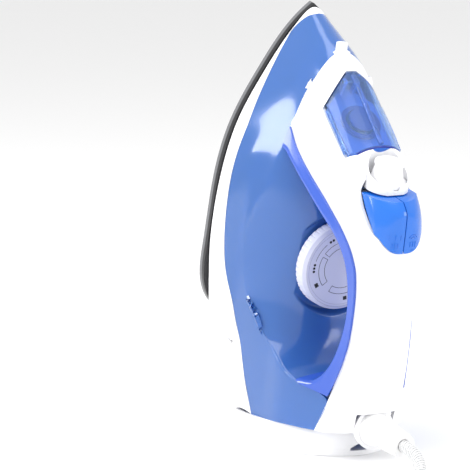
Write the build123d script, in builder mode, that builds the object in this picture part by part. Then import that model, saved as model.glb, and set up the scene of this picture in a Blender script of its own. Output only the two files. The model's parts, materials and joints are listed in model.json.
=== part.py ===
"""Steam iron standing on its heel, with its cord. Millimetres, +Z up, floor at Z = 0.

Each piece is drawn as if the iron lay flat on its ironing face: l runs from heel to tip,
w is the distance from the centre plane and h the height above the ironing face. Three
functions give the planes of that lying frame, already stood up on the heel.
"""
import os
from math import cos, pi, radians, sin, tan

from build123d import *

# ---- driving dimensions ------------------------------------------------------------------
LEAN = 12.0  # degrees that the ironing face leans when the iron stands on its heel
FOOT_CENTRE = 85.0  # floor line of the ironing face to the middle of the foot
TIP = 276.0  # tip of the soleplate
SOLE_REAR = 77.0
SOLE_HALF = 57.5  # half width of the soleplate
SOLE_THICK = 7.5
WALL = 2.4  # plastic casing
GRIP_TOP = 141.0  # top of the handle above the ironing face
FIT = 0.05  # running clearance on radius
GAP = 0.5  # gap between pieces that move past each other

DIAL = (130.0, 66.5)  # l, h of the temperature dial's underside
DIAL_R = 28.0
KNOB = (197.0, 114.5)  # l, h of the steam regulator's base
KNOB_TILT = 5.0
PUMP_L = 186.0
PUMP_W = 9.6
VALVE_L = 192.6
BUTTON_PIVOT = (156.0, 129.0)  # l, h

FOOT_SEAM = 17.0  # height of the seam between foot and body
BALL = (57.5, 0.0, 19.4)  # centre of the cord's ball swivel, standing
BALL_R = 10.5
GUARD_DROP = 5.2  # degrees that the cord guard points down
GUARD_LENGTH = 34.0  # ball centre to the guard's mouth
GUARD_R = 7.2

CORD_D = 7.5
COIL_CENTRE = (213.0, 0.0)
COIL_MID_R = 42.0
COIL_ACROSS = 30.0  # width of the ring of turns
COIL_HIGH = 14.4
PLUG_R = 18.5

os.makedirs("parts", exist_ok=True)

# ---- the lying frame, stood up -------------------------------------------------------------
C, S = cos(radians(LEAN)), sin(radians(LEAN))
ALONG = Vector(S, 0, C)
RISE = Vector(C, 0, -S)
NEAR = Vector(0, -1, 0)


def spot(l, w, h):
    """Standing position of a point of the lying frame."""
    return Vector(h * C + l * S - FOOT_CENTRE, -w, l * C - h * S)


def flat(h, l=0.0, w=0.0):
    """Plane parallel to the ironing face: x along the iron, y to the near side."""
    return Plane(origin=spot(l, w, h), x_dir=ALONG, z_dir=RISE)


def side(w=0.0):
    """Upright plane along the iron: x along the iron, y up from the ironing face."""
    return Plane(origin=spot(0, w, 0), x_dir=ALONG, z_dir=(0, 1, 0))


def tilted(l, h, angle):
    """Plane across the iron whose normal is turned by angle degrees from l towards h."""
    a = radians(angle)
    return Plane(origin=spot(l, 0, h), x_dir=NEAR, z_dir=ALONG * cos(a) + RISE * sin(a))


def turn(base, profile, mode=Mode.ADD):
    """Turns a profile of (radius, height) points about the normal of a plane."""
    meridian = Plane(origin=base.origin, x_dir=base.x_dir, z_dir=-base.y_dir)
    with BuildSketch(meridian) as half:
        with BuildLine():
            Polyline(*profile, close=True)
        make_face()
    revolve(half.sketch, axis=Axis(base.origin, base.z_dir), mode=mode)


def rod(base, radius, length, mode=Mode.ADD):
    """Round rod or hole from a plane."""
    with BuildSketch(base) as end:
        Circle(radius)
    extrude(end.sketch, amount=length, mode=mode)


def slab(plane, points, half, mode=Mode.ADD):
    """Straight-sided block of a side profile, half to each side of its plane."""
    with BuildSketch(plane) as profile:
        with BuildLine():
            Polyline(*points, close=True)
        make_face()
    extrude(profile.sketch, amount=half, both=True, mode=mode)


def write(piece, name):
    """Labels a finished piece and writes its file."""
    piece.part.label = name
    export_step(piece.part, f"parts/{name}.step")


def half_outline(points):
    """Closed outline from one side's points, nose first, mirrored about the centre line."""
    with BuildSketch() as outline:
        with BuildLine():
            Spline(*points)
            Line(points[-1], (points[-1][0], 0))
            mirror(about=Plane.XZ)
        make_face()
    return outline.sketch


# ---- soleplate, element and steam chamber ----------------------------------------------------
def sole_points(inset):
    """Half outline of the soleplate, moved inwards by inset."""
    edge = [(262, 14), (236, 30.5), (203, 46.5), (167, 54.5), (125, 57.3), (97, 56.5), (83, 49)]
    points = [(TIP - 1.6 * inset, 0)]
    points += [(l - (0.5 * inset if l > 160 else 0), w - inset) for l, w in edge]
    return points + [(SOLE_REAR + inset, 34.0)]


ELEMENT_R = 3.3
ELEMENT_H = 11.0
VENT_R = 1.6
CHAMBER_H = 16.4
CHAMBER_SCREWS = ((176, 14), (176, -14), (110, 14), (110, -14))
with BuildLine(flat(ELEMENT_H)) as element_path:
    FilletPolyline((104, 27), (196, 27), (236, 0), (196, -27), (104, -27), radius=16)
element_end = Plane(origin=spot(104, 27, ELEMENT_H), z_dir=ALONG)

with BuildPart() as soleplate:
    with BuildSketch(flat(0)):
        add(half_outline(sole_points(1.5)))
    with BuildSketch(flat(1.5)):
        add(half_outline(sole_points(0)))
    loft()
    with BuildSketch(flat(1.5)):
        add(half_outline(sole_points(0)))
    extrude(amount=SOLE_THICK - 1.5)
    with BuildSketch(element_end):
        Circle(5.2)
    sweep(path=element_path.line)
    with BuildSketch(element_end):
        Circle(ELEMENT_R)
    sweep(path=element_path.line, mode=Mode.SUBTRACT)
    vents = [(l, side_sign * w) for l, w in
             ((255, 6), (240, 13), (224, 20), (207, 26), (189, 31), (170, 35), (150, 38), (130, 40), (110, 41))
             for side_sign in (-1, 1)]
    vents += [(262, 0), (243, 0), (225, 6), (225, -6), (120, 0), (120, 14), (120, -14)]
    with BuildSketch(flat(0)):
        with Locations(*vents):
            Circle(VENT_R)
    extrude(amount=4.0, mode=Mode.SUBTRACT)
    for l, w in CHAMBER_SCREWS:
        rod(flat(SOLE_THICK - 1, l, w), 4.0, CHAMBER_H - SOLE_THICK + 0.9)
        rod(flat(CHAMBER_H - 12, l, w), 1.55, 20, Mode.SUBTRACT)
write(soleplate, "soleplate")

with BuildPart() as heating_element:
    with BuildSketch(element_end):
        Circle(ELEMENT_R)
    sweep(path=element_path.line)
    for sign in (-1, 1):
        rod(Plane(origin=spot(94, sign * 27, ELEMENT_H), z_dir=ALONG), 1.6, 10)
write(heating_element, "heating_element")

with BuildPart() as steam_chamber_cover:
    with BuildSketch(flat(CHAMBER_H)):
        add(half_outline([(244, 0), (232, 9), (205, 25), (170, 34), (130, 36), (104, 34), (98, 20)]))
        with Locations((VALVE_L, 0)):
            Circle(3.0, mode=Mode.SUBTRACT)
        with Locations(*CHAMBER_SCREWS):
            Circle(1.6, mode=Mode.SUBTRACT)
    extrude(amount=1.2)
write(steam_chamber_cover, "steam_chamber_cover")

with BuildPart() as chamber_screws:
    for l, w in CHAMBER_SCREWS:
        rod(flat(CHAMBER_H - 12, l, w), 1.5, 12 + 1.2)
        rod(flat(CHAMBER_H + 1.2, l, w), 2.8, 1.8)
        rod(flat(CHAMBER_H + 2.2, l, w), 0.9, 1.0, Mode.SUBTRACT)
write(chamber_screws, "chamber_screws")

# ---- outer envelope, finger opening and split lines --------------------------------------------
OUTLINES = (
    (8.0, (274, 0), (262, 13), (236, 29.5), (203, 45.5), (167, 53.5), (125, 56), (80, 52), (45, 48), (12, 46)),
    (47.0, (258, 0), (253.5, 11), (239, 20), (214, 27), (190, 38), (160, 45), (120, 46.5), (80, 45.5), (12, 43.5)),
    (90.0, (228, 0), (224, 11), (214, 19), (202, 22), (185, 24), (160, 28), (120, 35), (80, 38.5), (12, 39)),
    (118.0, (207, 0), (204, 9), (198, 16), (188, 19), (170, 19.5), (150, 20), (120, 21), (80, 24), (12, 30)),
    (132.0, (196, 0), (194, 7), (190, 13), (180, 16.5), (165, 17.3), (145, 17.5), (120, 17.5), (80, 18), (12, 21)),
    (GRIP_TOP, (189, 0), (187, 4), (182, 7), (170, 9), (155, 9.5), (140, 9.5), (120, 9.5), (80, 9.5), (12, 10)),
)


def envelope(inset):
    """The casing's outside, or its inside where inset is the wall."""
    with BuildPart() as shape:
        for h, *points in OUTLINES:
            lift = -inset if h > 100 else 0.0
            with BuildSketch(flat(h + lift)):
                add(half_outline([(l - (1.3 * inset if l > 190 else 0), max(w - inset, 0)) for l, w in points]))
        loft(ruled=True)
    return shape.part


OPENING_CENTRE = (128.0, 86.0)
OPENING_MIDDLE = ((187, 66), (177, 84), (161, 107), (143, 118), (114, 122.5), (88, 118.5), (72, 106),
                  (72, 90), (84, 77), (104, 70), (130, 67.5), (152, 66.5), (172, 63))
OPENING_SIDE = ((203, 50), (179, 84), (162, 108), (143, 119), (114, 123.5), (86, 121), (67, 112),
                (68, 93), (78, 74), (98, 50), (127, 37), (154, 38), (182, 44))


def opening(grow):
    """Finger opening, crowned over the tank, moved outwards by grow."""
    def grown(points):
        moved = []
        for l, h in points:
            out = Vector(l - OPENING_CENTRE[0], h - OPENING_CENTRE[1]).normalized() * grow
            moved.append((l + out.X, h + out.Y))
        return moved

    with BuildPart() as shape:
        for w, points in ((50, OPENING_SIDE), (0, OPENING_MIDDLE), (-50, OPENING_SIDE)):
            with BuildSketch(side(w)):
                with BuildLine():
                    Spline(*grown(points), periodic=True)
                make_face()
        loft()
    return shape.part


outside, inside = envelope(0), envelope(WALL)
finger_opening, finger_wall = opening(0), opening(WALL)

SKIRT_TOP = ((290, 12), (262, 8.6), (241, 12), (223, 14.5), (205, 16.5), (186, 17), (166, 17.5), (147, 19),
             (131, 21), (118, 23.5), (101, 29), (74, 40), (52, 48), (30, 59), (0, 78))
UNDERSIDE = ((0, 41), (37, 38.5), (54, 36), (69, 32.5), (77, 27), (81, 20), (84, 8))
COVER_EDGE = ((290, 47), (262, 47), (245, 49.5), (231, 47), (219, 46), (211, 46))
COVER_REAR = ((211, 46), (201, 57), (190, 73), (177, 93), (168, 106), (160, 115), (152, 121), (144, 125),
              (128, 127.5), (107, 128), (91, 126), (77, 123), (61, 119), (43, 114), (0, 97))
HANDLE_BACK = ((80, 160), (80, 139.5), (58, 137.5), (40, 133), (20, 128))


def below(points, floor, mode):
    """Keeps or removes what lies under a split line."""
    with BuildSketch(side()) as region:
        with BuildLine():
            Spline(*points)
            Polyline(points[-1], (points[-1][0], floor), (points[0][0], floor), points[0])
        make_face()
    extrude(region.sketch, amount=70, both=True, mode=mode)


def under_cover_edge(mode):
    """Keeps or removes what lies under the handle cover's lower edge."""
    with BuildSketch(side()) as region:
        with BuildLine():
            Spline(*COVER_EDGE)
            Spline(*COVER_REAR)
            Polyline((0, 97), (0, -5), (290, -5), (290, 47))
        make_face()
    extrude(region.sketch, amount=70, both=True, mode=mode)


DIAL_POCKET_R, DIAL_POCKET_H = DIAL_R + 2.5, DIAL[1] - 1.0

with BuildPart() as casing:
    add(outside)
    add(finger_opening, mode=Mode.SUBTRACT)
    rod(flat(DIAL_POCKET_H, DIAL[0]), DIAL_POCKET_R, 40, Mode.SUBTRACT)
    below(UNDERSIDE, -5, Mode.SUBTRACT)
    slab(side(), ((92, -5), (92, 8.2), (70, 8.2), (0, 0), (0, -5)), 70, Mode.SUBTRACT)
    with BuildSketch(Plane.XY.offset(FOOT_SEAM)):
        Rectangle(400, 200)
    extrude(amount=-60, mode=Mode.SUBTRACT)
    with BuildSketch(side()):
        with BuildLine():
            Spline(*HANDLE_BACK[1:])
            Polyline((20, 128), (20, 170), (80, 170), (80, 139.5))
        make_face()
    extrude(amount=70, both=True, mode=Mode.SUBTRACT)

with BuildPart() as hollow:
    add(inside)
    add(finger_wall, mode=Mode.SUBTRACT)
    rod(flat(DIAL_POCKET_H - WALL, DIAL[0]), DIAL_POCKET_R + WALL, 40, Mode.SUBTRACT)
    with BuildSketch(side()):
        with BuildLine():
            Spline((37, 41), (54, 38.5), (70.5, 35), (79.5, 28.5), (83.5, 21), (86.6, 8))
            Polyline((86.6, 8), (86.6, -5), (0, -5), (0, 41), (37, 41))
        make_face()
    extrude(amount=70, both=True, mode=Mode.SUBTRACT)
    with BuildSketch(side()):
        with BuildLine():
            Spline((80, 136.8), (58, 134.8), (40, 130.4), (20, 125.4))
            Polyline((20, 125.4), (20, 170), (80, 170), (80, 136.8))
        make_face()
    extrude(amount=70, both=True, mode=Mode.SUBTRACT)

shell = casing.part - hollow.part
print("casing", round(casing.part.volume), "shell", round(shell.volume))

# ---- cuts that the casing carries ----------------------------------------------------------------
LID_PLANE = tilted(232.5, 83.0, 32.9)  # x across, y up the slope, z out of the lid
LID_OUTLINE = ((-3, -27.5), (3, -27.5), (20, -11), (20, 23.4), (14, 27.3), (-14, 27.3), (-20, 23.4), (-20, -11))
BUTTON_LINE = ((193, 114), (185, 120), (175, 130.5), (171, 136.5), (166, 140), (159.5, 143.5))
BUTTON_HALF = 16.2
LID_GAP = 0.9
HINGE_Y, HINGE_Z, HINGE_R = -23.5, -3.6, 1.1  # lid hinge in the lid's plane
LUG_W, LUG_THICK = 3.2, 1.8  # lugs of the funnel that hold the lid's pin
LIP_SWEEP = 6.4  # radius that the lid's front lip sweeps about the hinge
knob_plane = tilted(*KNOB, KNOB_TILT)
ball_plane = Plane(origin=BALL, x_dir=(0, 1, 0), z_dir=(cos(radians(GUARD_DROP)), 0, -sin(radians(GUARD_DROP))))
pumps = {"spray": PUMP_W, "burst": -PUMP_W}


def lid_block(margin, low, high, mode=Mode.ADD):
    """Block with the lid's outline from low to high above the lid's plane."""
    with BuildSketch(Plane(origin=LID_PLANE.origin + LID_PLANE.z_dir * low, x_dir=LID_PLANE.x_dir,
                           z_dir=LID_PLANE.z_dir)) as block:
        with BuildLine():
            Polyline(*LID_OUTLINE, close=True)
        make_face()
        if margin:
            offset(amount=margin)
    extrude(block.sketch, amount=high - low, mode=mode)


def lid_spot(y, z, w=0.0):
    """Point of the lid's plane, y up the slope and z outwards."""
    return LID_PLANE.origin + LID_PLANE.x_dir * w + LID_PLANE.y_dir * y + LID_PLANE.z_dir * z


def across_rod(radius, half, mode=Mode.ADD, inner=0.0):
    """Rod along the lid hinge, or the two ends of one beyond inner."""
    for sign in (-1, 1):
        rod(Plane(origin=lid_spot(HINGE_Y, HINGE_Z, sign * inner), x_dir=ALONG, z_dir=NEAR * sign), radius, half - inner,
            mode)


with BuildPart() as skirt:
    add(shell)
    below(SKIRT_TOP, -30, Mode.INTERSECT)
write(skirt, "skirt")

LINER_REGION = ((66, 98), (66, 145), (232, 145), (232, 57), (184, 60.5), (178, 64), (120, 92), (90, 100))
with BuildPart() as tank_shell:
    add(shell)
    below(SKIRT_TOP, -30, Mode.SUBTRACT)
    under_cover_edge(Mode.INTERSECT)
    slab(side(), LINER_REGION, 70, Mode.SUBTRACT)
    rod(flat(DIAL[1] - 10, DIAL[0]), 5.5, 20, Mode.SUBTRACT)
    rod(Plane(origin=spot(240, 0, 46), x_dir=NEAR, z_dir=ALONG), 5.8, 30, Mode.SUBTRACT)
write(tank_shell, "tank_shell")

with BuildPart() as handle_liner:
    add(shell)
    under_cover_edge(Mode.INTERSECT)
    slab(side(), LINER_REGION, 70, Mode.INTERSECT)
write(handle_liner, "handle_liner")

with BuildPart() as handle_cover:
    add(shell)
    under_cover_edge(Mode.SUBTRACT)
    lid_block(LID_GAP, -11.5, 12, Mode.SUBTRACT)
    across_rod(LIP_SWEEP, 12, Mode.SUBTRACT)
    rod(knob_plane, 13.5, 24, Mode.SUBTRACT)
    slab(side(), BUTTON_LINE + ((159.5, 150), (205, 150), (205, 114)), 60, Mode.SUBTRACT)
    slab(side(), ((205, 106), (191, 106), (159.5, 131), (159.5, 150), (205, 150)), BUTTON_HALF + GAP, Mode.SUBTRACT)
    rod(Plane(origin=spot(244, 0, 46), x_dir=NEAR, z_dir=ALONG), 6.0, 20, Mode.SUBTRACT)
    with Locations(BALL):
        Sphere(13.2, mode=Mode.SUBTRACT)
write(handle_cover, "handle_cover")

# ---- heel foot ---------------------------------------------------------------------------------
FOOT_LINE = ((-47, 44), (-43, 50.5), (-35, 52.5), (-20, 51), (0, 44.8), (14, 37.3), (27, 28), (36.5, 16.5), (42, 0))
FOOT_TOP_LINE = ((-43.5, 38), (-41.5, 43), (-35, 45.3), (-20, 45), (0, 40), (14, 34), (27, 27), (37, 18.5), (45.5, 0))
FOOT_FLOOR = 3.0


def foot_outline(points, inset=0.0):
    """Foot outline: straight along the ironing side, round towards the handle."""
    near = [(x - inset if x > 0 else x + 0.6 * inset, y - inset if y else 0) for x, y in points]
    with BuildSketch() as outline:
        with BuildLine():
            Line((near[0][0], 0), near[0])
            Spline(*near)
            mirror(about=Plane.XZ)
        make_face()
    return outline.sketch


with BuildPart() as heel_foot:
    for z, line in ((0, FOOT_LINE), (4.5, FOOT_LINE), (FOOT_SEAM, FOOT_TOP_LINE)):
        with BuildSketch(Plane.XY.offset(z)):
            add(foot_outline(line))
    loft(ruled=True)
    with BuildSketch(Plane.XY.offset(FOOT_FLOOR)):
        add(foot_outline(FOOT_TOP_LINE, WALL))
    extrude(amount=FOOT_SEAM, mode=Mode.SUBTRACT)
    with BuildSketch(Plane.XY.offset(FOOT_FLOOR)):
        with Locations((-26, 28), (-26, -28)):
            Circle(4.5)
    extrude(amount=11)
    with BuildSketch(Plane.XY):
        with Locations((-26, 28), (-26, -28)):
            Circle(4.2)
    extrude(amount=4, mode=Mode.SUBTRACT)
    with BuildSketch(Plane.XY.offset(4)):
        with Locations((-26, 28), (-26, -28)):
            Circle(1.8)
    extrude(amount=20, mode=Mode.SUBTRACT)
    with Locations(BALL):
        Sphere(13.2, mode=Mode.SUBTRACT)
write(heel_foot, "heel_foot")

with BuildPart() as heel_screws:
    for w in (28, -28):
        rod(Plane(origin=(-26, w, 4)), 1.75, 12)
        rod(Plane(origin=(-26, w, 1.6)), 3.6, 2.4)
        rod(Plane(origin=(-26, w, 1.6)), 1.1, 1.2, Mode.SUBTRACT)
write(heel_screws, "heel_screws")

# ---- tank floor, thermostat and dial --------------------------------------------------------------
TANK_FLOOR_H = 31.0
with BuildPart() as tank_floor:
    add(hollow.part)
    slab(side(), ((98, TANK_FLOOR_H), (262, TANK_FLOOR_H), (262, TANK_FLOOR_H + 2), (100, TANK_FLOOR_H + 2),
                  (100, 80), (98, 80)), 70, Mode.INTERSECT)
    rod(flat(TANK_FLOOR_H - 1, DIAL[0]), 5.5, 5, Mode.SUBTRACT)
    rod(flat(TANK_FLOOR_H - 1, VALVE_L), 5.0, 5, Mode.SUBTRACT)
    rod(flat(TANK_FLOOR_H - 1, 208, -14), 2.2, 5, Mode.SUBTRACT)
write(tank_floor, "tank_floor")

with BuildPart() as thermostat:
    slab(side(), ((119, 18), (141, 18), (141, 24), (136, 24), (136, 29), (124, 29), (124, 24), (119, 24)), 8)
    rod(flat(20, DIAL[0]), 3.1, 10, Mode.SUBTRACT)
write(thermostat, "thermostat")

with BuildPart() as dial_sleeve:
    turn(flat(29.2, DIAL[0]), ((3 + FIT, 0), (5.5, 0), (5.5, DIAL[1] - 29.2 + 0.6), (3 + FIT, DIAL[1] - 29.2 + 0.6)))
write(dial_sleeve, "dial_sleeve")

with BuildPart() as dial_shaft:
    rod(flat(20.3, DIAL[0]), 3.0, DIAL[1] - 20.3 + 5.0)
write(dial_shaft, "dial_shaft")

with BuildPart() as temperature_dial:
    turn(flat(DIAL[1] + 1.5, DIAL[0]), ((3, 0), (DIAL_R - 1, 0), (DIAL_R, 1), (DIAL_R - 0.6, 8), (DIAL_R - 3, 9.6),
                                         (0, 9.6), (0, 3.5), (3, 3.5)))
    with BuildSketch(flat(DIAL[1] + 1, DIAL[0])):
        with PolarLocations(DIAL_R + 0.2, 48):
            Circle(0.8)
    extrude(amount=8.0, mode=Mode.SUBTRACT)
write(temperature_dial, "temperature_dial")

with BuildPart() as thermal_fuse:
    with BuildSketch(Plane(origin=spot(108, 18, 21), z_dir=ALONG)):
        Circle(2.2)
    extrude(amount=-16)
write(thermal_fuse, "thermal_fuse")

# ---- steam regulator and drip valve -------------------------------------------------------------------
with BuildPart() as knob_housing:
    turn(knob_plane, ((2.5 + FIT, -2.4), (13.4, -2.4), (13.4, 20), (12.2, 20), (12.2, 0), (2.5 + FIT, 0)))
    add(outside, mode=Mode.INTERSECT)
    lid_block(LID_GAP, -20, 12, Mode.SUBTRACT)
    slab(side(), ((160, 126.6), (230, 126.6), (230, 160), (160, 160)), 40, Mode.SUBTRACT)
write(knob_housing, "knob_housing")

with BuildPart() as steam_knob:
    turn(knob_plane, ((0, -9), (2.5, -9), (2.5, GAP), (11.3, GAP), (11.4, 2.4), (10.0, 3.0), (8.0, 11.4), (8.8, 12.2),
                      (8.6, 13.8), (7.6, 14.3), (0, 14.3)))
write(steam_knob, "steam_knob")

VALVE_R = 2.0
with BuildPart() as drip_valve:
    turn(flat(17.7, VALVE_L), ((VALVE_R + FIT, 0), (4, 0), (4, 6), (5, 6), (5, 18), (VALVE_R + FIT, 18)))
write(drip_valve, "drip_valve")

with BuildPart() as valve_rod:
    rod(flat(22, VALVE_L), VALVE_R, 86)
write(valve_rod, "valve_rod")

# ---- pumps and their tubes --------------------------------------------------------------------------------
PUMP_LOW, PUMP_TOP, PISTON_TOP = 86.0, 109.0, 119.6
for name, w in pumps.items():
    with BuildPart() as pump_body:
        turn(flat(PUMP_LOW, PUMP_L, w), ((0, 0), (5.6, 0), (5.6, PUMP_TOP - PUMP_LOW), (4.1, PUMP_TOP - PUMP_LOW),
                                         (4.1, 2), (0, 2)))
    write(pump_body, f"{name}_pump_body")
    with BuildPart() as piston:
        turn(flat(PUMP_TOP - 9, PUMP_L, w), ((0, 0), (4.1 - FIT, 0), (4.1 - FIT, 5), (2.6, 5),
                                             (2.6, PISTON_TOP - PUMP_TOP + 9), (0, PISTON_TOP - PUMP_TOP + 9)))
    write(piston, f"{name}_piston")
    with BuildPart() as spring:
        turn(flat(PUMP_LOW + 2.2, PUMP_L, w), ((2.4, 0), (3.4, 0), (3.4, 11.4), (2.4, 11.4)))
    write(spring, f"{name}_spring")
    with BuildLine() as suction_route:
        FilletPolyline(spot(PUMP_L + 2, w, PUMP_LOW), spot(PUMP_L + 2, w, PUMP_LOW - 4), spot(196, w, 74),
                       spot(196, w, 36), radius=3)
    with BuildPart() as suction_tube:
        with BuildSketch(Plane(origin=suction_route.line @ 0, z_dir=suction_route.line % 0)):
            Circle(1.8)
        sweep(path=suction_route.line)
    write(suction_tube, f"{name}_suction_tube")

with BuildLine() as spray_route:
    FilletPolyline(spot(192.4, 9.6, 92), spot(199, 11, 90), spot(212, 15.5, 62), spot(232, 8, 46.5),
                   spot(240, 0, 46), spot(245.8, 0, 46), radius=3)
with BuildPart() as spray_tube:
    with BuildSketch(Plane(origin=spray_route.line @ 0, z_dir=spray_route.line % 0)):
        Circle(1.8)
    sweep(path=spray_route.line)
write(spray_tube, "spray_tube")

with BuildLine() as burst_route:
    FilletPolyline(spot(192.4, -9.6, 92), spot(202, -14, 90), spot(208, -14, 80), spot(208, -14, 17.8), radius=4)
with BuildPart() as burst_tube:
    with BuildSketch(Plane(origin=burst_route.line @ 0, z_dir=burst_route.line % 0)):
        Circle(1.8)
    sweep(path=burst_route.line)
write(burst_tube, "burst_tube")

# ---- rocking buttons ----------------------------------------------------------------------------------------
PIN_R = 1.5
BUTTON_FRONT = 192.6
BOSS_HALF = 10.6
for name, sign in (("spray", 1), ("burst", -1)):
    with BuildPart() as button:
        add(outside)
        slab(side(), ((BUTTON_FRONT, 114.6), (BUTTON_FRONT, 150), (160.2, 150), (160.2, 143.6), (164, 134),
                      (180.5, PISTON_TOP + 0.6), (190.0, PISTON_TOP + 0.6), (190.4, 114.6)), 60, Mode.INTERSECT)
        with BuildSketch(side()):
            with BuildLine():
                Polyline((BUTTON_PIVOT[0], BUTTON_PIVOT[1] - 3.4), (172, 124.5), (176, 130), (164, 136.5),
                         (BUTTON_PIVOT[0], BUTTON_PIVOT[1] + 3.4), close=True)
            make_face()
        extrude(amount=BOSS_HALF, both=True)
        with BuildSketch(side()):
            with Locations(BUTTON_PIVOT):
                Circle(3.4)
        extrude(amount=BOSS_HALF, both=True)
        with BuildSketch(side()):
            with Locations(BUTTON_PIVOT):
                Circle(PIN_R + FIT)
        extrude(amount=20, both=True, mode=Mode.SUBTRACT)
        with BuildSketch(flat(100)):
            with Locations((175, sign * (0.25 + BUTTON_HALF / 2 - 0.125))):
                Rectangle(60, BUTTON_HALF - 0.25)
        extrude(amount=60, mode=Mode.INTERSECT)
        slab(side(), ((188, 110), (200, 110), (200, 121.5), (188, 121.5)), 3.6, Mode.SUBTRACT)
    write(button, f"{name}_button")

with BuildPart() as button_pin:
    with BuildSketch(side()):
        with Locations(BUTTON_PIVOT):
            Circle(PIN_R)
    extrude(amount=14.2, both=True)
write(button_pin, "button_pin")

with BuildPart() as pin_brackets:
    for sign in (-1, 1):
        with BuildSketch(side(sign * 13.6)):
            with BuildLine():
                Polyline((150, 119), (162, 119), (162, 126), (BUTTON_PIVOT[0] + 3.2, 132), (150, 132), close=True)
            make_face()
            with Locations(BUTTON_PIVOT):
                Circle(PIN_R, mode=Mode.SUBTRACT)
        extrude(amount=0.9, both=True)
    slab(side(), ((150, 118), (162, 118), (162, 119.4), (150, 119.4)), 14.5)
    add(inside, mode=Mode.INTERSECT)
    add(finger_wall, mode=Mode.SUBTRACT)
write(pin_brackets, "pin_brackets")

# ---- filler lid, funnel and spray nozzle ------------------------------------------------------------------------
INLET_Y, INLET_R = 1.5, 9.5
inner_lid = envelope(2.0)

with BuildPart() as filler_lid:
    add(outside)
    add(inner_lid, mode=Mode.SUBTRACT)
    lid_block(0, -11.0, 12, Mode.INTERSECT)
    with BuildSketch(Plane(origin=lid_spot(HINGE_Y + 2.5, HINGE_Z), x_dir=LID_PLANE.x_dir, z_dir=LID_PLANE.z_dir)):
        Rectangle(5, 5.6)
    extrude(amount=3.4)
    across_rod(2.3, 2.5)
    add(outside, mode=Mode.INTERSECT)
    across_rod(HINGE_R + FIT, 8, Mode.SUBTRACT)
    across_rod(3.1, 5.9, Mode.SUBTRACT, inner=2.8)
    with BuildSketch(Plane(origin=lid_spot(INLET_Y, -8.5), x_dir=LID_PLANE.x_dir, z_dir=LID_PLANE.z_dir)):
        Circle(4.0)
    extrude(amount=7.6)
write(filler_lid, "filler_lid")

with BuildPart() as lid_plug:
    turn(Plane(origin=lid_spot(INLET_Y, -12), x_dir=LID_PLANE.x_dir, z_dir=LID_PLANE.z_dir),
         ((0, 0), (6.6, 0), (8.2, 3.5), (0, 3.5)))
write(lid_plug, "lid_plug")

with BuildPart() as lid_pin:
    across_rod(HINGE_R, 5.2)
write(lid_pin, "lid_pin")

with BuildPart() as inlet_funnel:
    lid_block(-1.5, -14.5, -12.9)
    for w in (LUG_W, -LUG_W - LUG_THICK):
        with BuildSketch(Plane(origin=lid_spot(HINGE_Y, HINGE_Z, w), x_dir=LID_PLANE.y_dir, z_dir=NEAR)) as lug:
            Circle(2.2)
            with Locations((0.5, -5.0)):
                Rectangle(3.0, 10.0)
            Circle(HINGE_R, mode=Mode.SUBTRACT)
        extrude(lug.sketch, amount=LUG_THICK)
    funnel_top = Plane(origin=lid_spot(INLET_Y, -24), x_dir=LID_PLANE.x_dir, z_dir=LID_PLANE.z_dir)
    turn(funnel_top, ((INLET_R, 0), (11.2, 0), (11.2, 12.2), (INLET_R, 12.2)))
    rod(funnel_top, INLET_R, 14, Mode.SUBTRACT)
    add(inside, mode=Mode.INTERSECT)
write(inlet_funnel, "inlet_funnel")

with BuildPart() as inlet_seal:
    turn(Plane(origin=lid_spot(INLET_Y, -11.8), x_dir=LID_PLANE.x_dir, z_dir=LID_PLANE.z_dir),
         ((INLET_R, 0), (12.4, 0), (12.4, 1.3), (INLET_R, 1.3)))
write(inlet_seal, "inlet_seal")

with BuildPart() as spray_nozzle:
    turn(Plane(origin=spot(246.2, 0, 46), x_dir=NEAR, z_dir=ALONG),
         ((0, 0), (5.6, 0), (5.6, 10.5), (3.6, 11.5), (3.4, 16), (0.6, 16), (0.6, 6), (0, 6)))
write(spray_nozzle, "spray_nozzle")

# ---- mains entry --------------------------------------------------------------------------------------------------
with BuildPart() as terminal_block:
    slab(side(), ((44, 66), (66, 66), (66, 78), (44, 78)), 11)
    for w in (-7, 0, 7):
        rod(flat(74, 50, w), 2.2, 6, Mode.SUBTRACT)
        rod(flat(74, 60, w), 2.2, 6, Mode.SUBTRACT)
write(terminal_block, "terminal_block")

with BuildPart() as cord_clamp:
    slab(side(), ((52, 104), (60, 104), (60, 112), (52, 112)), 9)
    rod(Plane(origin=spot(50, 0, 108), z_dir=ALONG), 3.4, 14, Mode.SUBTRACT)
write(cord_clamp, "cord_clamp")

with BuildPart() as swivel_seat:
    with Locations(BALL):
        Sphere(13.0)
        Sphere(BALL_R + FIT, mode=Mode.SUBTRACT)
    with BuildSketch(Plane(origin=(BALL[0] - 0.5, 0, BALL[2]), x_dir=(0, 1, 0), z_dir=(1, 0, 0))):
        Circle(20)
    extrude(amount=30, mode=Mode.SUBTRACT)
    with BuildSketch(Plane(origin=(BALL[0], 0, BALL[2]), x_dir=(0, 1, 0), z_dir=(-1, 0, 0))):
        Circle(4.5)
    extrude(amount=20, mode=Mode.SUBTRACT)
write(swivel_seat, "swivel_seat")

with BuildPart() as swivel_ball:
    with Locations(BALL):
        Sphere(BALL_R)
    rod(Plane(origin=Vector(*BALL) - ball_plane.z_dir * 12, x_dir=(0, 1, 0), z_dir=ball_plane.z_dir), 3.9, 30, Mode.SUBTRACT)
write(swivel_ball, "swivel_ball")

with BuildPart() as cord_guard:
    turn(ball_plane, ((3.9, 9.9), (6.6, 9.9), (7.6, 12.5), (8.6, 17), (GUARD_R + 0.4, GUARD_LENGTH - 3),
                      (GUARD_R, GUARD_LENGTH), (3.9, GUARD_LENGTH)))
write(cord_guard, "cord_guard")

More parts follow.
